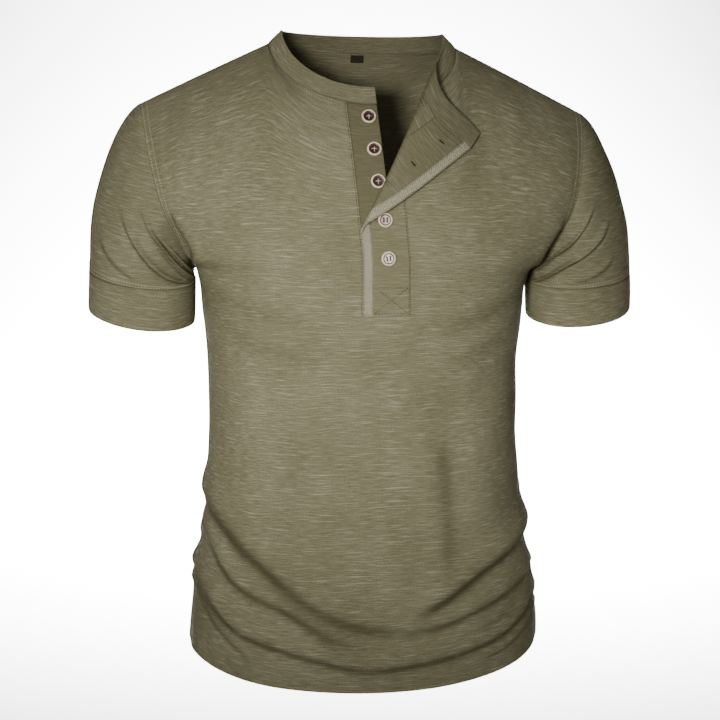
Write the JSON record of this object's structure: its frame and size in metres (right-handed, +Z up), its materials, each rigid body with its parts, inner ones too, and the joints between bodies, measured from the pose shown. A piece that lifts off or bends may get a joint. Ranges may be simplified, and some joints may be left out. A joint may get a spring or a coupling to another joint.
{
  "type": "henley shirt",
  "caption": "Short-sleeved slub jersey henley shirt, filled out as worn, with a band collar, its button placket turned open at the neck.",
  "frame": {"origin": "between the two neck points, level with the shoulder seams, where the wearer's shoulders carry the shirt", "axes": "+X to the wearer's left, -Y to the front, +Z up"},
  "size_m": [0.5788, 0.2449, 0.6849],
  "materials": {
    "jersey": "olive slub cotton jersey, matt",
    "binding_tape": "pale olive cotton twill tape, matt",
    "button_brown": "red-brown cast resin with a cream horn-look rim",
    "button_rose": "rose-cream cast resin with a brown ring",
    "button_cream": "cream cast resin with a thin brown ring",
    "label_tape": "dark woven tape, bare"
  },
  "bodies": {
    "root": {"body_front": "jersey", "body_back": "jersey", "sleeve_right": "jersey", "sleeve_hem_right": "jersey", "sleeve_left": "jersey", "sleeve_hem_left": "jersey", "neckband": "jersey", "placket_under": "jersey", "placket_over": "jersey", "placket_binding": "binding_tape", "button_1": "button_brown", "button_2": "button_brown", "button_3": "button_brown", "button_4": "button_rose", "button_5": "button_cream", "neck_label": "label_tape"}
  },
  "joints": []
}
